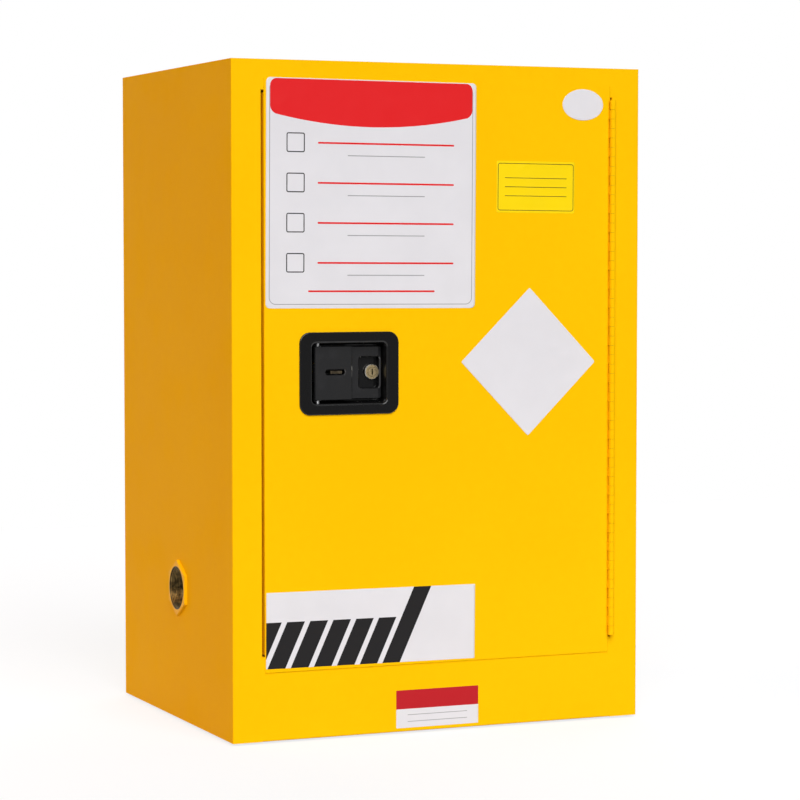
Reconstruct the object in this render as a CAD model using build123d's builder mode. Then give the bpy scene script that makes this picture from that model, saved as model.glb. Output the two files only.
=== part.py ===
from build123d import *

import os
from math import cos, radians, sin

os.makedirs("parts", exist_ok=True)

# A free-standing safety cabinet of folded and welded sheet steel: double walls round an air gap,
# a sump behind a raised sill, one door on a continuous hinge, and a recessed paddle latch whose
# hub draws two rods out of the frame. Millimetres, +Z up, the front towards -Y, and the origin
# on the floor below the middle of the outline.

# Outer shell
cabinet_width = 590.0
cabinet_depth = 460.0
cabinet_height = 890.0
sheet = 1.2
bend_radius = 1.8
skirt_gap = 3.0
base_height = 14.0
pan_flange = 15.0
flange_relief = 2.0
rail_foot = 15.0

# Frame round the doorway, and the inner box behind it
side_wall = 41.0
back_wall = 41.0
top_wall = 40.0
jamb_depth = 40.0
sill_height = 114.0
base_gap = 38.0

# Spacers that hold the inner box off the outer shell
spacer_flange = 15.0
spacer_margin = 20.0
spacer_front_inset = 120.0
spacer_rear_inset = 130.0
back_spacer_offset = 120.0
top_spacer_offset = 150.0
bearer_offset = 150.0

# Shelf on clips in slotted standards
standard_width = 20.0
standard_thickness = 3.0
standard_inset = 110.0
standard_margin = 20.0
slot_width = 5.0
slot_height = 12.0
slot_pitch = 25.0
slot_margin = 20.0
shelf_row_height = 454.0
clip_width = 14.0
clip_plate = 2.0
clip_ledge = 12.0
clip_rise = 10.0
clip_drop = 10.0
tongue_play = 0.5
shelf_play = 1.5
shelf_drop = 25.0
shelf_front_gap = 30.0
shelf_back_gap = 10.0

# Threaded vent bungs through the side walls, each with a flame arrester
vent_forward = 13.0
vent_inset = 183.0
bung_flats = 67.0
bung_proud = 4.0
bung_bevel = 0.8
bung_radius = 31.5
bung_bore_radius = 29.3
bung_bore_length = 20.0
arrester_radius = 28.0
arrester_thickness = 4.0
arrester_lip = 2.0
arrester_play = 0.1
arrester_hole_radius = 2.2
arrester_ring_pitch = 7.5
arrester_rings = 3
arrester_first_ring = 6
hole_play = 0.3

# Grounding stud on the right side
ground_inset = 70.0
ground_height = 150.0
ground_radius = 4.0
ground_reach = 13.0
ground_neck = 1.0
ground_neck_radius = 3.4
ground_head_flats = 13.0
ground_head = 5.0
ground_washer_radius = 8.0
ground_washer = 1.6
ground_nut = 4.0
thread_play = 0.05

# Door, lapped over the rails at its top and bottom
door_gap = 3.0
door_box_gap = 3.0
door_top_lap = 15.5
door_bottom_lap = 20.5
door_depth = 38.0
lap_gap = 0.3

# Continuous hinge on the right
knuckle_radius = 4.2
knuckle_count = 57
knuckle_gap = 0.3
hinge_end_gap = 3.0
hinge_gap = 0.3
hinge_pin_radius = 2.5
leaf = 1.2
leaf_width = 30.0
running_play = 0.05

# Recessed latch: bezel and pan in one casting, clamped through the door skin
latch_inset = 118.3
latch_rise = 3.1
pan_width = 105.2
pan_height = 79.2
pan_corner = 6.0
pan_wall = 2.0
pan_depth = 21.5
pan_mouth = 2.8
pan_root = 3.0
bezel_width = 140.0
bezel_height = 108.4
bezel_corner = 14.5
bezel_proud = 2.5
bezel_edge = 1.2
cutout_play = 0.4
clamp_thickness = 2.0
clamp_inset = 2.0
boss_inset = 7.0
boss_radius = 3.2
boss_length = 3.0
screw_radius = 1.5
screw_depth = 2.6
screw_head_radius = 4.5
screw_head = 2.2

# Paddle that turns on an upright pin near the left edge of the pan
paddle_swing = 30.0
paddle_left_gap = 7.1
pivot_inset = 6.0
pivot_depth = 13.0
paddle_pin_radius = 2.5
barrel_radius = 6.0
barrel_length = 10.0
plate_width = 53.0
plate_height = 71.3
plate_thickness = 3.5
plate_bevel = 1.0
plate_corner = 2.0
panel_width = 44.2
panel_height = 70.0
panel_step = 6.5
panel_thickness = 3.0
panel_corner = 3.0
panel_bevel = 1.2
riser = 2.4
window_width = 29.4
window_height = 41.2
window_right_rim = 2.6
window_corner = 3.5
hasp_slot_width = 27.5
hasp_slot_height = 6.5
hasp_slot_inset = 15.5
hasp_rise = 1.1
tongue_width = 16.0
tongue_thickness = 3.5
tongue_recess = 1.5
spring_wall = 1.1
spring_play = 0.3
spring_end_gap = 0.5

# Fork behind the paddle, hub and rods
hub_arm = 18.5
fork_slot = 8.0
fork_prong = 1.9
fork_height = 22.0
fork_thickness = 3.0
fork_slot_height = 16.0
fork_slot_lead = 2.1
drive_pin_radius = 2.5
floor_play = 2.5
hub_gap = 1.2
hub_plate = 2.5
hub_radius = 9.0
hub_end_radius = 5.0
hub_stud_radius = 4.0
hub_shoulder_radius = 6.0
hub_clip_radius = 7.0
hub_clip = 0.8
hub_axial_play = 0.3
rod_arm = 26.0
rod_width = 12.0
rod_thickness = 3.0
rod_end = 10.0
rod_slot_play = 0.5
rod_throw = 14.0
rod_tip_chamfer = 1.5
rod_play = 0.4
guide_wall = 5.0
guide_height = 16.0
guide_offset = 230.0
strike_play = 3.0
strike_wall = 8.0
strike_thickness = 2.0

# Key lock in the pan, whose cam turns in front of a toe on the paddle
lock_offset_x = 39.7
lock_rise = 0.5
lock_face_depth = 16.8
lock_face_radius = 10.0
lock_face = 2.0
lock_bevel = 0.6
lock_barrel_radius = 9.0
lock_nut_flats = 22.0
lock_nut_thickness = 3.0
plug_radius = 6.0
plug_proud = 0.5
keyway_width = 1.8
keyway_height = 8.0
keyway_depth = 3.0
cam_gap = 0.4
cam_plate = 2.0
cam_width = 12.0
cam_reach = 25.0
lug_rim = 1.0
lug_width = 6.4
lug_height = 10.0
lug_drop = 25.5
toe_height = 14.0
toe_thickness = 2.2
toe_gap = 0.8

# Levelling feet
foot_inset = 60.0
foot_pad_radius = 16.0
foot_pad_gap = 0.5
foot_pad_edge = 2.0
foot_stud_radius = 4.0
foot_stud_top = 44.0
foot_hole_radius = 4.6
foot_nut_flats = 13.0
foot_nut = 8.0

# Places worked out from the sizes above
half_width = cabinet_width / 2
shell_half = half_width - sheet
inner_half = half_width - side_wall
hinge_reach = lap_gap + sheet + hinge_gap + 2 * knuckle_radius
front = (hinge_reach - cabinet_depth) / 2
back = front + cabinet_depth
box_front = front + jamb_depth
box_back = back - back_wall
doorway_top = cabinet_height - top_wall
sump_bottom = base_height + sheet + base_gap
vent_y = front + cabinet_depth / 2 - vent_forward
ground_y = back - ground_inset

door_half = inner_half - door_gap
door_face = front - lap_gap - sheet
door_back = front + door_depth
door_top = doorway_top + door_top_lap
door_bottom = sill_height - door_bottom_lap
door_box_top = doorway_top - door_box_gap
door_box_bottom = sill_height + door_box_gap
door_inner_face = door_back - sheet

latch_x = latch_inset - door_half
latch_z = (door_top + door_bottom) / 2 + latch_rise
pan_floor = door_face + pan_depth
pan_back = pan_floor + pan_wall

plate_left = latch_x - pan_width / 2 + paddle_left_gap
plate_right = plate_left + plate_width
pivot_x = plate_left + pivot_inset
pivot_y = door_face + pivot_depth
plate_front = pivot_y - barrel_radius
panel_front = plate_front + panel_step
panel_back = panel_front + panel_thickness
panel_right = plate_right + panel_width
window_right = panel_right - window_right_rim
window_left = window_right - window_width
hasp_z = latch_z + hasp_rise
hasp_left = plate_left + hasp_slot_inset
lock_x = latch_x + lock_offset_x
lock_z = latch_z + lock_rise
lock_face_y = door_face + lock_face_depth

fork_y = pivot_y + hub_arm
fork_front = fork_y - fork_thickness / 2
fork_back = fork_y + fork_thickness / 2
fork_z = latch_z + hasp_rise
fork_half = fork_slot / 2 + fork_prong
hub_z = fork_z - hub_arm
hub_front = fork_back + hub_gap
hub_back = hub_front + hub_plate
swing = radians(paddle_swing)
rod_front = fork_y - rod_thickness / 2
rod_back = fork_y + rod_thickness / 2
rod_pin_drift = rod_arm * (1 - cos(swing))
upper_rod_x = pivot_x + rod_arm
lower_rod_x = pivot_x - rod_arm
rod_top = door_box_top + rod_throw
rod_bottom = door_box_bottom - rod_throw
strike_half = rod_width / 2 + strike_play

lock_nut_back = pan_back + lock_nut_thickness
cam_front = lock_nut_back + cam_gap
cam_back = cam_front + cam_plate
toe_front = cam_back + toe_gap
toe_back = toe_front + toe_thickness
lug_right = window_left - lug_rim
lug_left = lug_right - lug_width
lug_bottom = lock_z - lug_drop
lug_top = lug_bottom + lug_height

hinge_x = inner_half - door_gap / 2
hinge_y = door_face - hinge_gap - knuckle_radius
hinge_bottom = sill_height + hinge_end_gap
hinge_length = doorway_top - hinge_end_gap - hinge_bottom
knuckle_length = hinge_length / knuckle_count

standard_bottom = sill_height + standard_margin
standard_top = doorway_top - standard_margin
slot_count = int((standard_top - standard_bottom - 2 * slot_margin) / slot_pitch) + 1
slot_heights = [standard_bottom + slot_margin + slot_pitch * n for n in range(slot_count)]
shelf_row = round((shelf_row_height - slot_heights[0]) / slot_pitch)
clip_slot = slot_heights[0] + shelf_row * slot_pitch
ledge_top = clip_slot + clip_rise
shelf_top = ledge_top + shelf_drop
standard_face = inner_half - standard_thickness
shelf_half = standard_face - clip_plate - shelf_play

foot_pad_top = base_height - foot_pad_gap
sides = {"left": -1, "right": 1}
vent_heights = {"left": vent_inset, "right": cabinet_height - vent_inset}


def block(x, y, z, mode=Mode.ADD):
    """A box between two limits along each axis."""
    with Locations(((x[0] + x[1]) / 2, (y[0] + y[1]) / 2, (z[0] + z[1]) / 2)):
        Box(abs(x[1] - x[0]), abs(y[1] - y[0]), abs(z[1] - z[0]), mode=mode)


def round_bar(axis, centre, radius, limits, mode=Mode.ADD):
    """A cylinder along X, Y or Z between two limits, centred by its other two coordinates."""
    middle = list(centre)
    middle.insert("XYZ".index(axis), (limits[0] + limits[1]) / 2)
    turn = {"X": (0, 90, 0), "Y": (90, 0, 0), "Z": (0, 0, 0)}[axis]
    with Locations(tuple(middle)):
        Cylinder(radius, abs(limits[1] - limits[0]), rotation=turn, mode=mode)


def hex_bar(plane, flats, length):
    """A hexagon prism standing on a plane, with a corner along the plane's own x."""
    with BuildSketch(plane) as section:
        RegularPolygon(flats / 2, 6, major_radius=False, rotation=0)
    extrude(section.sketch, amount=length, dir=plane.z_dir)


def folded(plane, points, length):
    """A sheet folded along the middle line of its section, and carried along the plane's normal."""
    with BuildSketch(plane) as section:
        with BuildLine():
            FilletPolyline(*points, radius=bend_radius - sheet / 2)
        trace(line_width=sheet)
    extrude(section.sketch, amount=length, dir=plane.z_dir)


def facing(y):
    """The upright plane at a depth y, seen from the front, with its normal towards -Y."""
    return Plane.XZ.offset(-y)


def save(piece, label):
    """Name a finished piece and write it."""
    piece.part.label = label
    export_step(piece.part, f"parts/{label}.step")


# Outer side panels: wall, front stile and the jamb that turns back into the doorway. Above and
# below the doorway the stile's edge stays flat against the rails.
for name, side in sides.items():
    wall_line = side * (half_width - sheet / 2)
    jamb_line = side * (inner_half + sheet / 2)
    face_line = front + sheet / 2
    with BuildPart() as outer_panel:
        folded(
            Plane.XY.offset(skirt_gap),
            [(wall_line, back), (wall_line, face_line), (jamb_line, face_line), (jamb_line, box_front)],
            cabinet_height - skirt_gap,
        )
        channel = (side * shell_half, side * (inner_half - sheet))
        behind_stile = (front + sheet, box_front + sheet)
        block(channel, behind_stile, (doorway_top + sheet, cabinet_height), Mode.SUBTRACT)
        block(channel, behind_stile, (skirt_gap, sill_height - sheet), Mode.SUBTRACT)
        flat_edge = (side * inner_half, side * (inner_half + bend_radius))
        for limits in ((skirt_gap, sill_height - sheet), (doorway_top + sheet, cabinet_height)):
            block(flat_edge, (front, front + sheet), limits)
        through_wall = (side * (half_width + sheet), side * (shell_half - sheet))
        bung_hole = bung_radius + hole_play
        round_bar("X", (vent_y, vent_heights[name]), bung_hole, through_wall, Mode.SUBTRACT)
        if name == "right":
            stud_hole = ground_radius + hole_play
            round_bar("X", (ground_y, ground_height), stud_hole, through_wall, Mode.SUBTRACT)
    save(outer_panel, f"{name}_outer_panel")

# Top of the shell: a shallow pan between the side panels, its flanges turned down
with BuildPart() as top_outer_panel:
    inside = shell_half - sheet
    block(
        (-shell_half, shell_half),
        (front + sheet, back - sheet),
        (cabinet_height - pan_flange, cabinet_height),
    )
    fillet(top_outer_panel.edges().group_by(Axis.Z)[-1], bend_radius)
    block(
        (-inside, inside),
        (front + 2 * sheet, back - 2 * sheet),
        (cabinet_height - pan_flange, cabinet_height - sheet),
        Mode.SUBTRACT,
    )
save(top_outer_panel, "top_outer_panel")

# Underside of the shell: the same pan with its flanges turned up, and four holes for the feet
foot_places = {
    "front_left": (-half_width + foot_inset, front + foot_inset),
    "front_right": (half_width - foot_inset, front + foot_inset),
    "rear_left": (-half_width + foot_inset, back - foot_inset),
    "rear_right": (half_width - foot_inset, back - foot_inset),
}
with BuildPart() as bottom_outer_panel:
    inside = shell_half - sheet
    block((-shell_half, shell_half), (front + sheet, back - sheet), (base_height, base_height + pan_flange))
    fillet(bottom_outer_panel.edges().group_by(Axis.Z)[0], bend_radius)
    block(
        (-inside, inside),
        (front + 2 * sheet, back - 2 * sheet),
        (base_height + sheet, base_height + pan_flange),
        Mode.SUBTRACT,
    )
    through_base = (base_height - sheet, base_height + 2 * sheet)
    for place in foot_places.values():
        round_bar("Z", place, foot_hole_radius, through_base, Mode.SUBTRACT)
save(bottom_outer_panel, "bottom_outer_panel")

# Back of the shell, with upright flanges against the side panels
with BuildPart() as back_outer_panel:
    block((-shell_half, shell_half), (back - sheet, back), (skirt_gap, cabinet_height))
    flange_bottom = base_height + pan_flange + flange_relief
    flange_top = cabinet_height - pan_flange - flange_relief
    for side in sides.values():
        flange = (side * shell_half, side * (shell_half - sheet))
        block(flange, (back - pan_flange, back - sheet), (flange_bottom, flange_top))
save(back_outer_panel, "back_outer_panel")

# Rails across the front between the stiles, each notched for a latch rod behind the door's lap
notch_depth = fork_y + rod_thickness / 2 + strike_play
face_line = front + sheet / 2
with BuildPart() as front_top_rail:
    head_line = doorway_top + sheet / 2
    folded(
        Plane.YZ.offset(-inner_half),
        [(face_line, cabinet_height), (face_line, head_line), (box_front, head_line)],
        2 * inner_half,
    )
    block(
        (upper_rod_x - strike_half, upper_rod_x + strike_half),
        (front - sheet, notch_depth),
        (doorway_top - sheet, rod_top + rod_tip_chamfer),
        Mode.SUBTRACT,
    )
save(front_top_rail, "front_top_rail")

with BuildPart() as front_bottom_rail:
    foot_line = skirt_gap + sheet / 2
    sill_line = sill_height - sheet / 2
    folded(
        Plane.YZ.offset(-inner_half),
        [
            (front + rail_foot, foot_line),
            (face_line, foot_line),
            (face_line, sill_line),
            (box_front, sill_line),
        ],
        2 * inner_half,
    )
    block(
        (lower_rod_x - strike_half, lower_rod_x + strike_half),
        (front - sheet, notch_depth),
        (rod_bottom - rod_tip_chamfer, sill_height + sheet),
        Mode.SUBTRACT,
    )
save(front_bottom_rail, "front_bottom_rail")

# Keepers welded behind the notches, a fork of thicker plate round each rod
keeper_front = front + bend_radius
keeper_back = box_front
keepers = {
    "strike_top": (upper_rod_x, doorway_top + sheet, doorway_top + sheet + strike_thickness),
    "strike_bottom": (lower_rod_x, sill_height - sheet - strike_thickness, sill_height - sheet),
}
for label, (rod_x, low, high) in keepers.items():
    with BuildPart() as strike:
        outside = strike_half + strike_wall
        block((rod_x - outside, rod_x + outside), (keeper_front, keeper_back), (low, high))
        block(
            (rod_x - strike_half, rod_x + strike_half),
            (keeper_front - sheet, notch_depth),
            (low - sheet, high + sheet),
            Mode.SUBTRACT,
        )
    save(strike, label)

# Inner box: side, back and top linings over a watertight sump
for name, side in sides.items():
    with BuildPart() as liner:
        thickness = (side * inner_half, side * (inner_half + sheet))
        block(thickness, (box_front, box_back + sheet), (sill_height, doorway_top + sheet))
        through_liner = (side * (inner_half - sheet), side * (inner_half + 2 * sheet))
        bung_hole = bung_radius + hole_play
        round_bar("X", (vent_y, vent_heights[name]), bung_hole, through_liner, Mode.SUBTRACT)
    save(liner, f"{name}_liner")

with BuildPart() as back_liner:
    block((-inner_half, inner_half), (box_back, box_back + sheet), (sill_height, doorway_top + sheet))
save(back_liner, "back_liner")

with BuildPart() as top_liner:
    block((-inner_half, inner_half), (box_front, box_back), (doorway_top, doorway_top + sheet))
save(top_liner, "top_liner")

with BuildPart() as sump_tray:
    sump_half = inner_half + sheet
    block((-sump_half, sump_half), (box_front, box_back + sheet), (sump_bottom, sill_height))
    fillet(sump_tray.edges().group_by(Axis.Z)[0], bend_radius)
    block(
        (-inner_half, inner_half),
        (box_front + sheet, box_back),
        (sump_bottom + sheet, sill_height),
        Mode.SUBTRACT,
    )
save(sump_tray, "sump_tray")

# Folded spacers in the air gap, one flange on the shell and the other on the inner box
spacer_height = doorway_top - sill_height - 2 * spacer_margin
with BuildPart() as side_spacers:
    for side in sides.values():
        shell_line = side * (shell_half - sheet / 2)
        liner_line = side * (inner_half + 1.5 * sheet)
        for web in (front + spacer_front_inset, back - spacer_rear_inset):
            folded(
                Plane.XY.offset(sill_height + spacer_margin),
                [
                    (shell_line, web - spacer_flange),
                    (shell_line, web),
                    (liner_line, web),
                    (liner_line, web + spacer_flange),
                ],
                spacer_height,
            )
save(side_spacers, "side_spacers")

with BuildPart() as back_spacers:
    shell_line = back - 1.5 * sheet
    liner_line = box_back + 1.5 * sheet
    for web in (-back_spacer_offset, back_spacer_offset):
        folded(
            Plane.XY.offset(sill_height + spacer_margin),
            [
                (web - spacer_flange, shell_line),
                (web, shell_line),
                (web, liner_line),
                (web + spacer_flange, liner_line),
            ],
            spacer_height,
        )
save(back_spacers, "back_spacers")

spacer_run = box_back - box_front - 2 * spacer_margin
with BuildPart() as top_spacers:
    shell_line = cabinet_height - 1.5 * sheet
    liner_line = doorway_top + 1.5 * sheet
    for web in (-top_spacer_offset, top_spacer_offset):
        folded(
            facing(box_back - spacer_margin),
            [
                (web - spacer_flange, shell_line),
                (web, shell_line),
                (web, liner_line),
                (web + spacer_flange, liner_line),
            ],
            spacer_run,
        )
save(top_spacers, "top_spacers")

with BuildPart() as base_bearers:
    shell_line = base_height + 1.5 * sheet
    sump_line = sump_bottom - sheet / 2
    for web in (-bearer_offset, bearer_offset):
        folded(
            facing(box_back - spacer_margin),
            [
                (web - spacer_flange, shell_line),
                (web, shell_line),
                (web, sump_line),
                (web + spacer_flange, sump_line),
            ],
            spacer_run,
        )
save(base_bearers, "base_bearers")

# Slotted standards on the side linings, and the clips hooked into one row of slots
standard_middles = (front + standard_inset, back - standard_inset)
with BuildPart() as shelf_standards:
    for side in sides.values():
        for middle in standard_middles:
            strip = (middle - standard_width / 2, middle + standard_width / 2)
            block((side * standard_face, side * inner_half), strip, (standard_bottom, standard_top))
    for middle in standard_middles:
        with Locations([(0, middle, height) for height in slot_heights]):
            Box(2 * inner_half, slot_width, slot_height, mode=Mode.SUBTRACT)
save(shelf_standards, "shelf_standards")

with BuildPart() as shelf_clips:
    for side in sides.values():
        for middle in standard_middles:
            width = (middle - clip_width / 2, middle + clip_width / 2)
            slot = (middle - slot_width / 2 + tongue_play, middle + slot_width / 2 - tongue_play)
            plate = (side * standard_face, side * (standard_face - clip_plate))
            block(plate, width, (clip_slot - clip_drop, ledge_top))
            ledge = (side * standard_face, side * (standard_face - clip_ledge))
            block(ledge, width, (ledge_top - clip_plate, ledge_top))
            tongue = (side * standard_face, side * (inner_half - tongue_play))
            tongue_half = slot_height / 2 - tongue_play
            block(tongue, slot, (clip_slot - tongue_half, clip_slot + tongue_half))
save(shelf_clips, "shelf_clips")

# Shelf with its edges turned down, resting on the clips
with BuildPart() as shelf:
    shelf_front = box_front + shelf_front_gap
    shelf_back = box_back - shelf_back_gap
    block((-shelf_half, shelf_half), (shelf_front, shelf_back), (shelf_top - shelf_drop, shelf_top))
    fillet(shelf.edges().group_by(Axis.Z)[-1], bend_radius)
    block(
        (-shelf_half + sheet, shelf_half - sheet),
        (shelf_front + sheet, shelf_back - sheet),
        (shelf_top - shelf_drop, shelf_top - sheet),
        Mode.SUBTRACT,
    )
save(shelf, "shelf")

# Vent bungs: a hexagon flange outside, a tube through both walls, a stepped bore
arrester_start = bung_bore_length
arrester_end = arrester_start + arrester_thickness
for name, side in sides.items():
    mouth = half_width + bung_proud
    centre = (vent_y, vent_heights[name])
    with BuildPart() as vent_bung:
        seat = Plane((side * half_width, *centre), x_dir=(0, 0, 1), z_dir=(side, 0, 0))
        hex_bar(seat, bung_flats, bung_proud)
        chamfer(vent_bung.faces().sort_by(Axis.X)[-1 if side > 0 else 0].edges(), bung_bevel)
        round_bar("X", centre, bung_radius, (side * inner_half, side * half_width))
        steps = (
            (bung_bore_radius, 0, bung_bore_length),
            (arrester_radius, arrester_start, arrester_end),
            (arrester_radius - arrester_lip, arrester_end, side_wall + bung_proud),
        )
        for radius, start, end in steps:
            limits = (side * (mouth - start), side * (mouth - end))
            round_bar("X", centre, radius, limits, Mode.SUBTRACT)
    save(vent_bung, f"{name}_vent_bung")

    with BuildPart() as flame_arrester:
        disc = Plane((side * (mouth - arrester_end), *centre), x_dir=(0, 0, 1), z_dir=(side, 0, 0))
        with BuildSketch(disc):
            Circle(arrester_radius - arrester_play)
            Circle(arrester_hole_radius, mode=Mode.SUBTRACT)
            for ring in range(1, arrester_rings + 1):
                with PolarLocations(ring * arrester_ring_pitch, ring * arrester_first_ring):
                    Circle(arrester_hole_radius, mode=Mode.SUBTRACT)
        extrude(amount=arrester_thickness)
    save(flame_arrester, f"{name}_flame_arrester")

# Grounding stud: a bolt from inside the wall, a washer and a nut outside, and a free end past a neck
ground_centre = (ground_y, ground_height)
washer_end = half_width + ground_washer
nut_end = washer_end + ground_nut
with BuildPart() as ground_stud:
    head = Plane((shell_half - ground_head, *ground_centre), x_dir=(0, 0, 1), z_dir=(1, 0, 0))
    hex_bar(head, ground_head_flats, ground_head)
    round_bar("X", ground_centre, ground_radius, (shell_half, nut_end))
    round_bar("X", ground_centre, ground_neck_radius, (nut_end, nut_end + ground_neck))
    round_bar("X", ground_centre, ground_radius, (nut_end + ground_neck, half_width + ground_reach))
save(ground_stud, "ground_stud")

stud_bore = ground_radius + thread_play
with BuildPart() as ground_washer_ring:
    round_bar("X", ground_centre, ground_washer_radius, (half_width, washer_end))
    round_bar("X", ground_centre, stud_bore, (half_width, washer_end), Mode.SUBTRACT)
save(ground_washer_ring, "ground_washer")

with BuildPart() as ground_hex_nut:
    nut_seat = Plane((washer_end, *ground_centre), x_dir=(0, 0, 1), z_dir=(1, 0, 0))
    hex_bar(nut_seat, ground_head_flats, ground_nut)
    round_bar("X", ground_centre, stud_bore, (washer_end, nut_end), Mode.SUBTRACT)
save(ground_hex_nut, "ground_nut")

# Continuous hinge: two leaves with knuckles in turn along one pin, each knuckle closed down to the
# face of the door or of the stile
knuckle_middles = [hinge_bottom + knuckle_length * (n + 0.5) for n in range(knuckle_count)]
leaf_sides = {
    "hinge_frame_leaf": ((inner_half - leaf, inner_half), knuckle_radius, front, knuckle_middles[1::2]),
    "hinge_door_leaf": ((door_half, door_half + leaf), -knuckle_radius, door_face, knuckle_middles[0::2]),
}
for label, (plate, root, face, open_middles) in leaf_sides.items():
    with BuildPart() as hinge_leaf:
        with BuildSketch(Plane.XY.offset(hinge_bottom)):
            with Locations((hinge_x, hinge_y)):
                Circle(knuckle_radius)
            leaf_end = front + leaf_width
            with Locations(((plate[0] + plate[1]) / 2, (hinge_y + leaf_end) / 2)):
                Rectangle(plate[1] - plate[0], leaf_end - hinge_y)
            with Locations((hinge_x + root / 2, (hinge_y + face) / 2)):
                Rectangle(knuckle_radius, face - hinge_y)
            with Locations((hinge_x, hinge_y)):
                Circle(hinge_pin_radius + running_play, mode=Mode.SUBTRACT)
        extrude(amount=hinge_length)
        opening = 2 * (front - hinge_y + hinge_gap)
        with Locations([(hinge_x, hinge_y, middle) for middle in open_middles]):
            Box(opening, opening, knuckle_length + knuckle_gap, mode=Mode.SUBTRACT)
    save(hinge_leaf, label)

with BuildPart() as hinge_pin:
    round_bar("Z", (hinge_x, hinge_y), hinge_pin_radius, (hinge_bottom, hinge_bottom + hinge_length))
save(hinge_pin, "hinge_pin")

# Door skin: front sheet with folded sides, lapped over the rails above and below
boss_x = bezel_width / 2 - boss_inset
boss_z = bezel_height / 2 - boss_inset
boss_places = [(latch_x + i * boss_x, latch_z + j * boss_z) for i in (-1, 1) for j in (-1, 1)]
pan_outer_width = pan_width + 2 * pan_wall
pan_outer_height = pan_height + 2 * pan_wall
cutout_x = (latch_x - pan_outer_width / 2 - cutout_play, latch_x + pan_outer_width / 2 + cutout_play)
cutout_z = (latch_z - pan_outer_height / 2 - cutout_play, latch_z + pan_outer_height / 2 + cutout_play)
with BuildPart() as door_skin:
    edge_line = door_half - sheet / 2
    skin_line = door_face + sheet / 2
    folded(
        Plane.XY.offset(door_bottom),
        [(-edge_line, door_back), (-edge_line, skin_line), (edge_line, skin_line), (edge_line, door_back)],
        door_top - door_bottom,
    )
    behind_skin = (door_face + sheet, door_back + sheet)
    across = (-door_half - sheet, door_half + sheet)
    block(across, behind_skin, (door_box_top, door_top + sheet), Mode.SUBTRACT)
    block(across, behind_skin, (door_bottom - sheet, door_box_bottom), Mode.SUBTRACT)
    through_skin = (door_face - sheet, door_face + 2 * sheet)
    block(cutout_x, through_skin, cutout_z, Mode.SUBTRACT)
    for place in boss_places:
        round_bar("Y", place, boss_radius + hole_play, through_skin, Mode.SUBTRACT)
save(door_skin, "door_skin")

# Inner door panel: the back of the door, its ends folded forward to the skin
rod_half = rod_width / 2 + rod_play
with BuildPart() as door_inner_panel:
    panel_half = door_half - sheet
    back_line = door_back - sheet / 2
    top_line = door_box_top - sheet / 2
    bottom_line = door_box_bottom + sheet / 2
    flange_end = door_face + bend_radius
    folded(
        Plane.YZ.offset(-panel_half),
        [
            (flange_end, top_line),
            (back_line, top_line),
            (back_line, bottom_line),
            (flange_end, bottom_line),
        ],
        2 * panel_half,
    )
    rod_slot = (rod_front - rod_play, rod_back + rod_play)
    upper_slot = (upper_rod_x - rod_half, upper_rod_x + rod_half)
    lower_slot = (lower_rod_x - rod_half, lower_rod_x + rod_half)
    block(upper_slot, rod_slot, (door_box_top - 2 * sheet, door_box_top + sheet), Mode.SUBTRACT)
    block(lower_slot, rod_slot, (door_box_bottom - sheet, door_box_bottom + 2 * sheet), Mode.SUBTRACT)
save(door_inner_panel, "door_inner_panel")

# Latch pan: a cast bezel over the skin and a box behind it, open to the front
tail_window_x = (pivot_x - fork_half - floor_play, pivot_x + fork_half + hub_arm * sin(swing))
tail_window_z = (fork_z - fork_height / 2 - floor_play, fork_z + fork_height / 2 + floor_play)
lug_reach = ((lug_right - pivot_x) ** 2 + (toe_back - pivot_y) ** 2) ** 0.5
lug_window_x = (lug_left - 2 * floor_play, pivot_x + lug_reach + floor_play / 2)
lug_window_z = (lug_bottom - floor_play / 2, lug_top + toe_height + floor_play / 2)
through_floor = (pan_floor - sheet, pan_back + sheet)
with BuildPart() as latch_pan:
    with BuildSketch(facing(door_face)):
        with Locations((latch_x, latch_z)):
            RectangleRounded(bezel_width, bezel_height, bezel_corner)
    extrude(amount=bezel_proud)
    fillet(latch_pan.faces().sort_by(Axis.Y)[0].edges(), bezel_edge)
    with BuildSketch(facing(pan_back)):
        with Locations((latch_x, latch_z)):
            RectangleRounded(pan_outer_width, pan_outer_height, pan_corner + pan_wall)
    extrude(amount=pan_back - door_face)
    with BuildSketch(facing(pan_floor)):
        with Locations((latch_x, latch_z)):
            RectangleRounded(pan_width, pan_height, pan_corner)
    extrude(amount=pan_floor - door_face + bezel_proud, mode=Mode.SUBTRACT)
    floor_face = latch_pan.faces().filter_by(Axis.Y).sort_by(Axis.Y)[-2]
    fillet(floor_face.edges(), pan_root)
    fillet(latch_pan.faces().sort_by(Axis.Y)[0].inner_wires()[0].edges(), pan_mouth)
    for place in boss_places:
        round_bar("Y", place, boss_radius, (door_face, door_face + boss_length))
        screw_end = door_face + boss_length - screw_depth
        round_bar("Y", place, screw_radius, (screw_end, door_face + boss_length), Mode.SUBTRACT)
    pin_hole = paddle_pin_radius + running_play
    pin_limits = (latch_z - pan_outer_height / 2, latch_z + pan_outer_height / 2)
    round_bar("Z", (pivot_x, pivot_y), pin_hole, pin_limits, Mode.SUBTRACT)
    block(tail_window_x, through_floor, tail_window_z, Mode.SUBTRACT)
    block(lug_window_x, through_floor, lug_window_z, Mode.SUBTRACT)
    round_bar("Y", (lock_x, lock_z), lock_barrel_radius + hole_play, through_floor, Mode.SUBTRACT)
save(latch_pan, "latch_pan")

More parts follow.
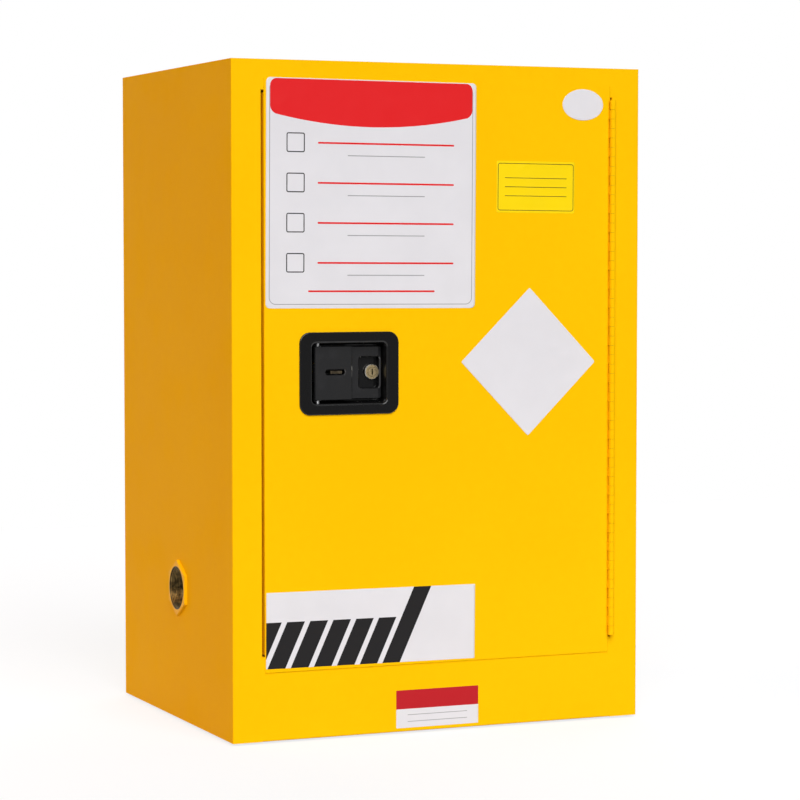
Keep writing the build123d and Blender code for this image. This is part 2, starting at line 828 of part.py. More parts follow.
# Clamp frame behind the skin, drawn to the bezel by four screws
skin_back = door_face + sheet
clamp_back = skin_back + clamp_thickness
with BuildPart() as latch_clamp:
    with BuildSketch(facing(clamp_back)):
        with Locations((latch_x, latch_z)):
            RectangleRounded(bezel_width - 2 * clamp_inset, bezel_height - 2 * clamp_inset, bezel_corner)
    extrude(amount=clamp_thickness)
    block(cutout_x, (skin_back, clamp_back), cutout_z, Mode.SUBTRACT)
    for place in boss_places:
        round_bar("Y", place, boss_radius + hole_play, (skin_back, clamp_back), Mode.SUBTRACT)
save(latch_clamp, "latch_clamp")

with BuildPart() as latch_screws:
    for place in boss_places:
        round_bar("Y", place, screw_head_radius, (clamp_back, clamp_back + screw_head))
        tip = door_face + boss_length - screw_depth + running_play
        round_bar("Y", place, screw_radius - running_play, (tip, clamp_back))
save(latch_screws, "latch_screws")

# Paddle: a raised plate with a hasp slot, a lower panel with a window round the lock,
# pivot barrels, a forked tail and the toe that the lock's cam holds
barrel_low = latch_z - plate_height / 2
barrel_high = latch_z + plate_height / 2
spring_bore = paddle_pin_radius + spring_play
spring_radius = spring_bore + spring_wall
spring_room = (barrel_low + barrel_length, fork_z - fork_height / 2)
with BuildPart() as paddle:
    panel_left = plate_right - riser
    with BuildSketch(facing(panel_back)) as panel_outline:
        with Locations(((panel_left + panel_right) / 2, latch_z)):
            Rectangle(panel_right - panel_left, panel_height)
        fillet(panel_outline.vertices().group_by(Axis.X)[-1], panel_corner)
        with Locations(((window_left + window_right) / 2, latch_z)):
            RectangleRounded(window_width, window_height, window_corner, mode=Mode.SUBTRACT)
    extrude(amount=panel_thickness)
    chamfer(paddle.faces().sort_by(Axis.Y)[0].edges(), panel_bevel)
    with BuildSketch(facing(plate_front + plate_thickness)) as plate_outline:
        with Locations(((plate_left + plate_right) / 2, latch_z)):
            Rectangle(plate_width, plate_height)
        fillet(plate_outline.vertices().group_by(Axis.X)[0], plate_corner)
        with Locations((hasp_left + hasp_slot_width / 2, hasp_z)):
            SlotOverall(hasp_slot_width, hasp_slot_height, mode=Mode.SUBTRACT)
    extrude(amount=plate_thickness)
    chamfer(paddle.faces().sort_by(Axis.Y)[0].edges(), plate_bevel)
    panel_z = (latch_z - panel_height / 2, latch_z + panel_height / 2)
    block((panel_left, plate_right), (plate_front + plate_bevel, panel_back), panel_z)
    round_bar("Z", (pivot_x, pivot_y), barrel_radius, (barrel_low, barrel_low + barrel_length))
    round_bar("Z", (pivot_x, pivot_y), barrel_radius, (barrel_high - barrel_length, barrel_high))
    tail_x = (pivot_x - fork_half, pivot_x + fork_half)
    tail_z = (fork_z - fork_height / 2, fork_z + fork_height / 2)
    round_bar("Z", (pivot_x, pivot_y), spring_radius + spring_play, spring_room, Mode.SUBTRACT)
    block(tail_x, (plate_front + plate_thickness, fork_back), tail_z)
    block((lug_left, lug_right), (panel_back, toe_back), (lug_bottom, lug_top))
    block((lug_left, lug_right), (toe_front, toe_back), (lug_top, lug_top + toe_height))
    round_bar("Z", (pivot_x, pivot_y), pin_hole, (barrel_low, barrel_high), Mode.SUBTRACT)
    block(
        (pivot_x - fork_slot / 2, pivot_x + fork_slot / 2),
        (fork_front - fork_slot_lead, fork_back),
        (fork_z - fork_slot_height / 2, fork_z + fork_slot_height / 2),
        Mode.SUBTRACT,
    )
save(paddle, "paddle")

with BuildPart() as paddle_pin:
    round_bar("Z", (pivot_x, pivot_y), paddle_pin_radius, pin_limits)
save(paddle_pin, "paddle_pin")

# Return spring on the pin, between the lower barrel and the tail
with BuildPart() as paddle_spring:
    spring_limits = (spring_room[0] + spring_end_gap, spring_room[1] - spring_end_gap)
    round_bar("Z", (pivot_x, pivot_y), spring_radius, spring_limits)
    round_bar("Z", (pivot_x, pivot_y), spring_bore, spring_limits, Mode.SUBTRACT)
save(paddle_spring, "paddle_spring")

# Hasp tongue standing on the pan floor, its end just inside the paddle's slot
with BuildPart() as hasp_tongue:
    tongue_middle = hasp_left + hasp_slot_width / 2 + tongue_recess
    block(
        (tongue_middle - tongue_width / 2, tongue_middle + tongue_width / 2),
        (plate_front + tongue_recess, pan_floor),
        (hasp_z - tongue_thickness / 2, hasp_z + tongue_thickness / 2),
    )
save(hasp_tongue, "hasp_tongue")

# Key lock: face and barrel in the pan, nut behind it, and a plug that turns with its cam
lock_centre = (lock_x, lock_z)
with BuildPart() as lock_body:
    round_bar("Y", lock_centre, lock_face_radius, (lock_face_y, lock_face_y + lock_face))
    chamfer(lock_body.faces().sort_by(Axis.Y)[0].edges(), lock_bevel)
    round_bar("Y", lock_centre, lock_barrel_radius, (lock_face_y + lock_face, lock_nut_back))
    plug_bore = plug_radius + running_play
    round_bar("Y", lock_centre, plug_bore, (lock_face_y, lock_nut_back), Mode.SUBTRACT)
save(lock_body, "lock_body")

with BuildPart() as lock_nut:
    nut_end_plane = facing(lock_nut_back).shift_origin((lock_x, lock_nut_back, lock_z))
    hex_bar(nut_end_plane, lock_nut_flats, lock_nut_thickness)
    nut_bore = lock_barrel_radius + thread_play
    round_bar("Y", lock_centre, nut_bore, (pan_back, lock_nut_back), Mode.SUBTRACT)
save(lock_nut, "lock_nut")

with BuildPart() as lock_plug:
    plug_face = lock_face_y - plug_proud
    round_bar("Y", lock_centre, plug_radius, (plug_face, cam_front))
    block(
        (lock_x - keyway_width / 2, lock_x + keyway_width / 2),
        (plug_face, plug_face + keyway_depth),
        (lock_z - keyway_height / 2, lock_z + keyway_height / 2),
        Mode.SUBTRACT,
    )
save(lock_plug, "lock_plug")

with BuildPart() as lock_cam:
    round_bar("Y", lock_centre, cam_width / 2, (cam_front, cam_back))
    cam_x = (lock_x - cam_width / 2, lock_x + cam_width / 2)
    block(cam_x, (cam_front, cam_back), (lock_z - cam_reach + cam_width / 2, lock_z))
    tip_centre = (lock_x, lock_z - cam_reach + cam_width / 2)
    round_bar("Y", tip_centre, cam_width / 2, (cam_front, cam_back))
save(lock_cam, "lock_cam")

# Hub on a stud behind the pan, with one pin in the paddle's fork and one in each rod
with BuildPart() as hub_stud:
    shoulder_end = hub_front - hub_axial_play
    clip_front = hub_back + hub_axial_play
    clip_back = clip_front + hub_clip
    round_bar("Y", (pivot_x, hub_z), hub_shoulder_radius, (pan_back, shoulder_end))
    round_bar("Y", (pivot_x, hub_z), hub_stud_radius, (shoulder_end, clip_back))
save(hub_stud, "hub_stud")

with BuildPart() as hub_clip_ring:
    round_bar("Y", (pivot_x, hub_z), hub_clip_radius, (clip_front, clip_back))
    clip_bore = hub_stud_radius + thread_play
    round_bar("Y", (pivot_x, hub_z), clip_bore, (clip_front, clip_back), Mode.SUBTRACT)
save(hub_clip_ring, "hub_clip_ring")

with BuildPart() as latch_hub:
    with BuildSketch(facing(hub_back)):
        with Locations((pivot_x, hub_z)):
            Circle(hub_radius)
        with Locations((lower_rod_x, hub_z), (upper_rod_x, hub_z), (pivot_x, fork_z)):
            Circle(hub_end_radius)
        make_hull()
        with Locations((pivot_x, hub_z)):
            Circle(hub_stud_radius + running_play, mode=Mode.SUBTRACT)
    extrude(amount=hub_plate)
    drive_pin_end = fork_front - fork_slot_lead + hub_gap
    round_bar("Y", (pivot_x, fork_z), drive_pin_radius, (drive_pin_end, hub_front))
    for rod_x in (lower_rod_x, upper_rod_x):
        round_bar("Y", (rod_x, hub_z), drive_pin_radius, (rod_front - rod_slot_play, hub_front))
save(latch_hub, "latch_hub")

# Flat rods that slide up and down in the door, each with a cross slot for its hub pin
rod_depth = (rod_front, rod_back)
rod_slot_half = drive_pin_radius + rod_slot_play
rod_ways = {
    "upper_rod": (upper_rod_x, -1, (hub_z - rod_end, rod_top)),
    "lower_rod": (lower_rod_x, 1, (rod_bottom, hub_z + rod_end)),
}
for label, (rod_x, inward, limits) in rod_ways.items():
    with BuildPart() as rod:
        block((rod_x - rod_width / 2, rod_x + rod_width / 2), rod_depth, limits)
        tip = rod.faces().sort_by(Axis.Z)[-1 if inward < 0 else 0]
        chamfer(tip.edges().filter_by(Axis.Y), rod_tip_chamfer)
        drift = inward * rod_pin_drift
        pad = (rod_x - inward * rod_width / 2, rod_x + inward * rod_width / 2 + drift)
        block(pad, rod_depth, (hub_z - rod_end, hub_z + rod_end))
        slot = (rod_x - inward * rod_slot_half, rod_x + inward * rod_slot_half + drift)
        block(slot, rod_depth, (hub_z - rod_slot_half, hub_z + rod_slot_half), Mode.SUBTRACT)
    save(rod, label)

# Guides on the inner panel, a saddle over each rod
with BuildPart() as rod_guides:
    for rod_x, guide_z in ((upper_rod_x, hub_z + guide_offset), (lower_rod_x, hub_z - guide_offset)):
        guide_limits = (guide_z - guide_height / 2, guide_z + guide_height / 2)
        guide_half = rod_half + guide_wall
        block(
            (rod_x - guide_half, rod_x + guide_half),
            (rod_front - rod_play - clamp_thickness, door_inner_face),
            guide_limits,
        )
        block(
            (rod_x - rod_half, rod_x + rod_half),
            (rod_front - rod_play, rod_back + rod_play),
            guide_limits,
            Mode.SUBTRACT,
        )
save(rod_guides, "rod_guides")

# Levelling feet: pad and threaded stud, each in a weld nut on the bottom panel
with BuildPart() as foot_weld_nuts:
    nut_bottom = base_height + sheet
    for place in foot_places.values():
        hex_bar(Plane((*place, nut_bottom)), foot_nut_flats, foot_nut)
        nut_bore = foot_stud_radius + thread_play
        round_bar("Z", place, nut_bore, (nut_bottom, nut_bottom + foot_nut), Mode.SUBTRACT)
save(foot_weld_nuts, "foot_weld_nuts")

for name, place in foot_places.items():
    with BuildPart() as foot_pad:
        round_bar("Z", place, foot_pad_radius, (0, foot_pad_top))
        fillet(foot_pad.edges().group_by(Axis.Z)[-1], foot_pad_edge)
    save(foot_pad, f"foot_pad_{name}")

    with BuildPart() as foot_stud:
        round_bar("Z", place, foot_stud_radius, (foot_pad_top, foot_stud_top))
    save(foot_stud, f"foot_stud_{name}")
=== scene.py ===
import math

import bpy
import numpy as np
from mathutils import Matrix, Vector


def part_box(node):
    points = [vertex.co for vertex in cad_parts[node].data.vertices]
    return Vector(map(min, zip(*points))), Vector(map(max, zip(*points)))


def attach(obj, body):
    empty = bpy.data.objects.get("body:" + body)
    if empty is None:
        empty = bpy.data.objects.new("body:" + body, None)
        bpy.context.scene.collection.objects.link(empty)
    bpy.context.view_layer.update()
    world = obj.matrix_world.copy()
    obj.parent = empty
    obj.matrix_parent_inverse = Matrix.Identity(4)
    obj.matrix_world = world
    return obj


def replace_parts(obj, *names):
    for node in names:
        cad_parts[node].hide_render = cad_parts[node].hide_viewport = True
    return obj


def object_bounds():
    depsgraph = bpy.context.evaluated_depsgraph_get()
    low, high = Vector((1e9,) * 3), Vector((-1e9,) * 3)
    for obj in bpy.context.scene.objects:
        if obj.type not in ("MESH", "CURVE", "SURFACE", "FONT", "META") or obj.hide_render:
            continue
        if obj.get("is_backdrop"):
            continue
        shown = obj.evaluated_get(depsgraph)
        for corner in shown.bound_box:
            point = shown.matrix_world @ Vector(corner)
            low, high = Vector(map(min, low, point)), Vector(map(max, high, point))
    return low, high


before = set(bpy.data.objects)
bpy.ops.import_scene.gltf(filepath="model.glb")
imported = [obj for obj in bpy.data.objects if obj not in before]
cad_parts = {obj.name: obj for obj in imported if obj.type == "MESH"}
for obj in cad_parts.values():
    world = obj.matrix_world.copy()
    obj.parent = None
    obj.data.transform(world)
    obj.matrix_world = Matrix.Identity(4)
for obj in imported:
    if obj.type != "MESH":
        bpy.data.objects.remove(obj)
cad_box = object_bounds()


# Outer shell and doorway frame: side panels, top, base, back and the two rails across the front.
# Folded from 1.2 mm sheet steel, spot-welded, and coated with a smooth yellow powder that melts
# into a skin with a faint orange peel.
class Wire:
    """A socket of a material's nodes. Arithmetic on wires adds Math nodes, and node() adds any
    other."""

    def __init__(self, socket):
        self.socket = socket

    def node(self, kind, settings=None, inputs=None, output=0):
        """Adds a node: its settings are set first, and then its sockets take values or wires."""
        tree = self.socket.id_data
        made = tree.nodes.new(kind)
        for name, value in (settings or {}).items():
            setattr(made, name, value)
        for key, value in (inputs or {}).items():
            if isinstance(value, Wire):
                tree.links.new(value.socket, made.inputs[key])
            else:
                made.inputs[key].default_value = value
        return Wire(made.outputs[output])

    def maths(self, operation, *values):
        sockets = dict(enumerate((self, *values)))
        return self.node("ShaderNodeMath", {"operation": operation}, sockets)

    def __add__(self, other):
        return self.maths("ADD", other)

    __radd__ = __add__

    def __sub__(self, other):
        return self.maths("SUBTRACT", other)

    def __rsub__(self, other):
        return self.maths("MULTIPLY_ADD", -1.0, other)

    def __mul__(self, other):
        return self.maths("MULTIPLY", other)

    __rmul__ = __mul__

    def rise(self, low, high):
        """0 at low, 1 at high, and a smooth step between them."""
        limits = {"Value": self, "From Min": low, "From Max": high}
        return self.node("ShaderNodeMapRange", {"interpolation_type": "SMOOTHSTEP"}, limits)

    def mix(self, first, second):
        """A colour that goes from first to second as this wire goes from 0 to 1."""
        sockets = {0: self, 6: first, 7: second}
        return self.node("ShaderNodeMix", {"data_type": "RGBA"}, sockets, output=2)

    def axes(self):
        """The three parts of a vector."""
        parts = self.node("ShaderNodeSeparateXYZ", inputs={0: self})
        return [Wire(output) for output in parts.socket.node.outputs]

    def into(self, shader, name):
        self.socket.id_data.links.new(self.socket, shader.inputs[name])


def finish(name, constants):
    """A material with the shader's constants set on its own sockets, and the wire of places in
    metres."""
    material = bpy.data.materials.new(name)
    material.use_nodes = True
    nodes = material.node_tree.nodes
    shader = nodes["Principled BSDF"]
    for socket, value in constants.items():
        shader.inputs[socket].default_value = value
    return material, shader, Wire(nodes.new("ShaderNodeTexCoord").outputs["Object"])


def noise(place, size, detail=2.0):
    """Smooth noise about 0.5, with grains of one size."""
    grain = {"Vector": place, "Scale": 1 / size, "Detail": detail}
    return place.node("ShaderNodeTexNoise", inputs=grain)


def relief(height, shader, depth, strength):
    """Tilts the shader's normal as if the surface rose and fell with the height."""
    bump = {"Height": height, "Distance": depth, "Strength": strength}
    height.node("ShaderNodeBump", inputs=bump).into(shader, "Normal")


def dress(material, *nodes):
    """Gives CAD nodes one finish."""
    for node in nodes:
        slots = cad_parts[node].data.materials
        slots.clear()
        slots.append(material)


YELLOW = (0.965, 0.545, 0.002, 1.0)
YELLOW_DEEP = (0.950, 0.525, 0.0015, 1.0)
yellow_coat, shader, place = finish("yellow_powder_coat", {"Specular IOR Level": 0.012})
drift = noise(place, 0.30)
mottle = noise(place, 0.012)
(drift * 0.7 + mottle * 0.3).rise(0.35, 0.65).mix(YELLOW_DEEP, YELLOW).into(shader, "Base Color")
handling = noise(place, 0.06, 4.0).rise(0.45, 0.75)
(handling * 0.08 + mottle * 0.06 + 0.40).into(shader, "Roughness")
relief(noise(place, 0.0024, 1.0) + noise(place, 0.0009, 1.0) * 0.3, shader, 0.0003, 0.10)
dress(yellow_coat, "left_outer_panel", "right_outer_panel", "top_outer_panel", "bottom_outer_panel",
      "back_outer_panel", "front_top_rail", "front_bottom_rail")

# Inner box and sump: the second wall, folded from the same sheet and coated with the shell, with
# the sump's seams welded watertight. Zinc-coated spacers hold the two walls apart out of sight.
dress(yellow_coat, "left_liner", "right_liner", "back_liner", "top_liner", "sump_tray")

ZINC_DULL = (0.40, 0.42, 0.44, 1.0)
ZINC_BRIGHT = (0.66, 0.68, 0.69, 1.0)
SPANGLES_PER_METRE = 85.0
zinc, shader, place = finish("galvanised_sheet", {"Metallic": 1.0})
cells = {"Vector": place, "Scale": SPANGLES_PER_METRE}
spangle = place.node("ShaderNodeTexVoronoi", {"feature": "F1"}, cells, output="Color")
crystal = spangle.axes()[0]
streak = noise(place, 0.004, 3.0)
(crystal * 0.75 + streak * 0.25).mix(ZINC_DULL, ZINC_BRIGHT).into(shader, "Base Color")
(crystal * 0.16 + streak * 0.12 + 0.30).into(shader, "Roughness")
relief(crystal * 0.3 + noise(place, 0.0015), shader, 0.0002, 0.08)
dress(zinc, "side_spacers", "back_spacers", "top_spacers", "base_bearers", "strike_top",
      "strike_bottom", "foot_weld_nuts")

# Shelf: a tray of spangled galvanised sheet with its edges turned down, lifted on four clips that
# hook into the slotted standards welded to the side linings.
dress(zinc, "shelf", "shelf_standards", "shelf_clips")


# Vents: a hexagon bung welded through each side wall and coated with it, its pipe thread left bare
# brass. A perforated brass flame arrester is pressed in behind the thread. The brass of the bore, the
# thread and the arrester is painted far darker than brass, as shade inside the bore.
def surface(name, points, material, body, closed=(False, False)):
    """A mesh over a grid of points: neighbours both ways make quads. A direction that comes round on
    itself joins its last row to its first, and a closed shape has its faces turned outwards."""
    index = np.arange(points.shape[0] * points.shape[1]).reshape(points.shape[:2])
    for axis in (0, 1):
        if closed[axis]:
            index = np.concatenate([index, index.take([0], axis)], axis)
    corners = (index[:-1, :-1], index[1:, :-1], index[1:, 1:], index[:-1, 1:])
    quads = np.stack(corners, -1).reshape(-1, 4)
    flat = points.reshape(-1, 3)
    if any(closed):
        a, b, c, d = (flat[quads[:, k]] - flat.mean(0) for k in range(4))
        if np.sum(a * np.cross(b, c) + a * np.cross(c, d)) < 0:
            quads = quads[:, ::-1]
    mesh = bpy.data.meshes.new(name)
    mesh.from_pydata(flat.tolist(), [], quads.tolist())
    mesh.materials.append(material)
    mesh.shade_smooth()
    piece = bpy.data.objects.new(name, mesh)
    bpy.context.scene.collection.objects.link(piece)
    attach(piece, body)
    return piece


def thread_wave(along, turn, pitch):
    """A screw's ridge, 0 in the groove and 1 on the crest: a triangle wave of the distance along the
    axis, shifted by one pitch for each whole turn."""
    return np.abs(2 * np.mod(along / pitch - turn / (2 * np.pi), 1.0) - 1)


def off_axis(first, second, centre):
    """Distance from a straight axis, from the two places across it."""
    first, second = first - centre[0], second - centre[1]
    return (first.maths("POWER", 2.0) + second.maths("POWER", 2.0)).maths("SQRT")


# Brass painted much darker than brass, as shade for the vent bores, over random real tarnish. The
# ground stud, its washer and its nut share it.
BRASS_AGED_SHADED = (0.210, 0.145, 0.058, 1.0)
BRASS_TARNISHED_SHADED = (0.075, 0.051, 0.021, 1.0)
brass, shader, place = finish("aged_brass_painted_shade", {"Metallic": 1.0})
tarnish = noise(place, 0.006, 3.0).rise(0.35, 0.65)
tarnish.mix(BRASS_AGED_SHADED, BRASS_TARNISHED_SHADED).into(shader, "Base Color")
(tarnish * 0.08 + noise(place, 0.0006) * 0.06 + 0.16).into(shader, "Roughness")
relief(noise(place, 0.0007), shader, 0.0001, 0.15)
dress(brass, "left_flame_arrester", "right_flame_arrester")

# The bung's bare bore is painted dark brass, as shade inside the bore.
BRASS_BORE_SHADE = (0.16, 0.11, 0.05, 1.0)
BORE_RADIUS = 0.0293
THREAD_PITCH = 0.00231
THREAD_DEPTH = 0.00125
THREAD_LENGTH = 0.0188
for side, sign in (("left", -1), ("right", 1)):
    low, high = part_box(f"{side}_vent_bung")
    centre_y, centre_z = (low.y + high.y) / 2, (low.z + high.z) / 2
    mouth = sign * max(abs(low.x), abs(high.x))

    bung_coat, shader, place = finish(f"{side}_bung_coat", {"Specular IOR Level": 0.08})
    _, across, up = place.axes()
    from_axis = off_axis(across, up, (centre_y, centre_z))
    bare = from_axis.rise(BORE_RADIUS + 0.0006, BORE_RADIUS + 0.0001)
    patchy = noise(place, 0.008)
    bare.mix(patchy.mix(YELLOW_DEEP, YELLOW), BRASS_BORE_SHADE).into(shader, "Base Color")
    bare.into(shader, "Metallic")
    (patchy * 0.08 + 0.34).into(shader, "Roughness")
    relief(noise(place, 0.0022), shader, 0.0003, 0.10)
    dress(bung_coat, f"{side}_vent_bung")

    turn = np.linspace(0, 2 * np.pi, 144, endpoint=False)[:, None]
    along = np.linspace(0, THREAD_LENGTH, 82)[None, :]
    lead_in = np.clip(np.minimum(along, THREAD_LENGTH - along) / THREAD_PITCH, 0, 1)
    inner = BORE_RADIUS - 0.0001 - THREAD_DEPTH * lead_in * thread_wave(along, turn, THREAD_PITCH)
    outer = np.full((len(turn), 2), BORE_RADIUS - 0.00004)
    radius = np.concatenate([inner, outer], 1)
    depth = np.concatenate([along, [[THREAD_LENGTH, 0.0]]], 1) + 0.0004
    ring = np.stack([mouth - sign * depth + 0 * radius, centre_y + radius * np.cos(turn),
                     centre_z + radius * np.sin(turn)], -1)
    surface(f"{side}_vent_thread", ring, brass, "cabinet", closed=(True, True))


# Grounding stud: a brass hexagon-headed bolt through the right wall from inside, drawn tight by a
# washer and a nut, its threaded end left free for the ring of an earthing lead.
def turned_stud(name, base, axis, lengths, radii, material, body, node, facets=48):
    """A closed round bar: a radius for each length along the axis and each angle round it, closed to a
    point on the axis at both ends. Stands for one CAD node."""
    turn = np.linspace(0, 2 * np.pi, facets, endpoint=False)
    along = np.array(axis, float)
    first = np.roll(along, 1)
    second = np.cross(along, first)
    lengths = np.concatenate([lengths[:1], lengths, lengths[-1:]])
    tip = np.full((1, facets), 1e-6)
    radii = np.concatenate([tip, radii, tip])
    round_about = np.cos(turn)[:, None] * first + np.sin(turn)[:, None] * second
    points = np.array(base) + lengths[:, None, None] * along + radii[:, :, None] * round_about
    piece = surface(name, points, material, body, closed=(False, True))
    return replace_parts(piece, node)


low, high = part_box("ground_stud")
STUD_THREAD_PITCH = 0.00125
STUD_CORE_RADIUS = 0.0033
STUD_RIDGE = 0.00068
GROUND_HEAD = 0.005
GROUND_HEAD_RADIUS = 0.0065
GROUND_HEAD_BEVEL = np.array([[0.93], [1], [1], [0.93]])
stud_length = high.x - low.x
turn = np.linspace(0, 2 * np.pi, 48, endpoint=False)[None, :]
head = np.array([0.0, 0.0003, GROUND_HEAD - 0.0003, GROUND_HEAD])
hexagon = GROUND_HEAD_RADIUS / np.cos(np.mod(turn, np.pi / 3) - np.pi / 6)
head_radius = hexagon * GROUND_HEAD_BEVEL
shank = np.linspace(GROUND_HEAD + 0.0001, stud_length, 110)
point = np.clip((stud_length - shank) / 0.0008, 0, 1)[:, None]
ridge = STUD_RIDGE * point * thread_wave(shank[:, None], turn, STUD_THREAD_PITCH)
turned_stud("ground_stud_threaded", (low.x, (low.y + high.y) / 2, (low.z + high.z) / 2), (1, 0, 0),
            np.concatenate([head, shank]), np.concatenate([head_radius, STUD_CORE_RADIUS + ridge]),
            brass, "cabinet", "ground_stud")
dress(brass, "ground_washer", "ground_nut")

# Levelling feet: a zinc-plated threaded stud moulded into a black nylon pad, screwed up into a nut
# that is welded on the base.
PLATING_DULL = (0.56, 0.57, 0.59, 1.0)
PLATING_BRIGHT = (0.74, 0.74, 0.74, 1.0)
plated, shader, place = finish("zinc_plated_steel", {"Metallic": 1.0})
cloud = noise(place, 0.010, 3.0)
cloud.rise(0.35, 0.65).mix(PLATING_DULL, PLATING_BRIGHT).into(shader, "Base Color")
(cloud * 0.16 + noise(place, 0.0008) * 0.10 + 0.20).into(shader, "Roughness")
relief(noise(place, 0.0006), shader, 0.0001, 0.10)

NYLON_BLACK = (0.016, 0.016, 0.017, 1.0)
NYLON_SCUFFED = (0.050, 0.049, 0.047, 1.0)
nylon, shader, place = finish("black_nylon", {"Specular IOR Level": 0.4})
scuffed = noise(place, 0.005, 4.0).rise(0.50, 0.70)
scuffed.mix(NYLON_BLACK, NYLON_SCUFFED).into(shader, "Base Color")
(scuffed * 0.14 + 0.46).into(shader, "Roughness")
relief(noise(place, 0.0007), shader, 0.0002, 0.20)

for corner in ("front_left", "front_right", "rear_left", "rear_right"):
    dress(nylon, f"foot_pad_{corner}")
    low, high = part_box(f"foot_stud_{corner}")
    length = np.linspace(0, high.z - low.z, 170)
    point = np.clip((length[-1] - length) / 0.0010, 0, 1)[:, None]
    ridge = STUD_RIDGE * point * thread_wave(length[:, None], turn, STUD_THREAD_PITCH)
    base = ((low.x + high.x) / 2, (low.y + high.y) / 2, low.z)
    turned_stud(f"foot_screw_{corner}", base, (0, 0, 1), length, STUD_CORE_RADIUS + ridge, plated,
                f"foot_{corner}", f"foot_stud_{corner}")

# Continuous hinge: two leaves of sheet with rolled knuckles, coated with the door and the frame, on
# one long pin of drawn steel, oiled, and painted near black as shade in the gaps between knuckles.
dress(yellow_coat, "hinge_frame_leaf", "hinge_door_leaf")

# Oiled steel painted near black, as shade in the hinge's knuckle gaps and in the latch pan. The wiped
# patches are random.
OIL_DARK_SHADED = (0.055, 0.042, 0.026, 1.0)
OIL_WIPED_SHADED = (0.110, 0.088, 0.060, 1.0)
shaded_oiled_steel, shader, place = finish("shaded_oiled_steel", {"Metallic": 1.0})
oil = noise(place, 0.008, 3.0).rise(0.35, 0.65)
oil.mix(OIL_DARK_SHADED, OIL_WIPED_SHADED).into(shader, "Base Color")
(oil * 0.14 + 0.38).into(shader, "Roughness")
relief(noise(place, 0.0008), shader, 0.0001, 0.10)
dress(shaded_oiled_steel, "hinge_pin")

# Door: a front skin with folded sides that laps over the rails, closed behind by an inner panel,
# and both coated like the shell.
dress(yellow_coat, "door_skin", "door_inner_panel")

# Latch pan and paddle: two zinc castings with a black coat, the pan's deeper and the paddle's
# rubbed paler by hands. A clamp frame and four screws behind the door skin hold the pan, and a steel
# tongue stands in it, painted near black as shade in the pan.
VARNISH = {"Specular IOR Level": 0.05, "Coat Roughness": 0.10, "Coat IOR": 1.8}
black_coats = (("latch_pan", 0.0035, 0.0060, 0.45), ("paddle", 0.0100, 0.0160, 0.90))
for node, deep, worn, gloss in black_coats:
    black_coat, shader, place = finish(f"{node}_black_coat", VARNISH)
    rub = noise(place, 0.018, 4.0).rise(0.48, 0.72)
    rub.mix((deep, deep, 1.1 * deep, 1.0), (worn, worn, 1.1 * worn, 1.0)).into(shader, "Base Color")
    (noise(place, 0.003) * 0.10 + 0.30).into(shader, "Roughness")
    (rub * -0.15 + gloss).into(shader, "Coat Weight")
    relief(noise(place, 0.0011, 1.0), shader, 0.0002, 0.06)
    dress(black_coat, node)
dress(zinc, "latch_clamp")
dress(plated, "latch_screws")
# The tongue's near black is painted shade in the pan.
dress(shaded_oiled_steel, "hasp_tongue")


# Paddle's pivot: a plated pin pressed through the pan, with a coil of spring wire round it that
# turns the paddle shut.
def tube(path, radius, facets=10):
    """A round wire along a path: a circle in the plane across the path at each of its points."""
    ahead = np.gradient(path, axis=0)
    ahead /= np.linalg.norm(ahead, axis=1, keepdims=True)
    sideways = np.cross(ahead, (0.0, 0.0, 1.0))
    sideways /= np.linalg.norm(sideways, axis=1, keepdims=True)
    upright = np.cross(sideways, ahead)
    angle = np.linspace(0, 2 * np.pi, facets, endpoint=False)[None, :, None]
    swell = np.full((len(path), 1, 1), radius)
    swell[[0, -1]] = 1e-6
    circle = np.cos(angle) * sideways[:, None] + np.sin(angle) * upright[:, None]
    return path[:, None] + swell * circle


dress(plated, "paddle_pin")
low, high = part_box("paddle_spring")
WIRE_RADIUS = 0.0005
COILS = 11
winding = np.linspace(0, 2 * np.pi * COILS, 24 * COILS)
coil_radius = (high.x - low.x) / 2 - WIRE_RADIUS
climb = low.z + WIRE_RADIUS + (high.z - low.z - 2 * WIRE_RADIUS) * winding / winding[-1]
coil = np.stack([(low.x + high.x) / 2 + coil_radius * np.cos(winding),
                 (low.y + high.y) / 2 + coil_radius * np.sin(winding), climb], -1)
coil = np.concatenate([coil[:1], coil, coil[-1:]])
coil = coil + np.array([[0.0, 0.0, 1e-6]]) * np.arange(len(coil))[:, None]
spring = surface("paddle_spring_coil", tube(coil, WIRE_RADIUS), plated, "door",
                 closed=(False, True))
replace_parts(spring, "paddle_spring")

# Key lock: a brass barrel with a bevelled face, turned and nickel-plated at its rim, held in the
# pan by a nut, and a plug with a keyway that carries the locking cam.
TURNED_DARK = (0.50, 0.37, 0.18, 1.0)
TURNED_BRIGHT = (0.82, 0.66, 0.38, 1.0)
NICKEL_RIM = (0.80, 0.77, 0.70, 1.0)
LOCK_PAINTED_SHADE = (0.030, 0.021, 0.010, 1.0)
PLUG_RADIUS = 0.0061
low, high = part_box("lock_body")
lock_brass, shader, place = finish("turned_lock_brass", {"Metallic": 1.0})
across, inward, up = place.axes()
reach = off_axis(across, up, ((low.x + high.x) / 2, (low.z + high.z) / 2))
turning = {"W": reach, "Scale": 1800.0, "Detail": 3.0}
rings = reach.node("ShaderNodeTexNoise", {"noise_dimensions": "1D"}, turning)
ring_tone = rings.rise(0.35, 0.65).mix(TURNED_DARK, TURNED_BRIGHT)
face_tone = reach.rise(0.0088, 0.0096).mix(ring_tone, NICKEL_RIM)
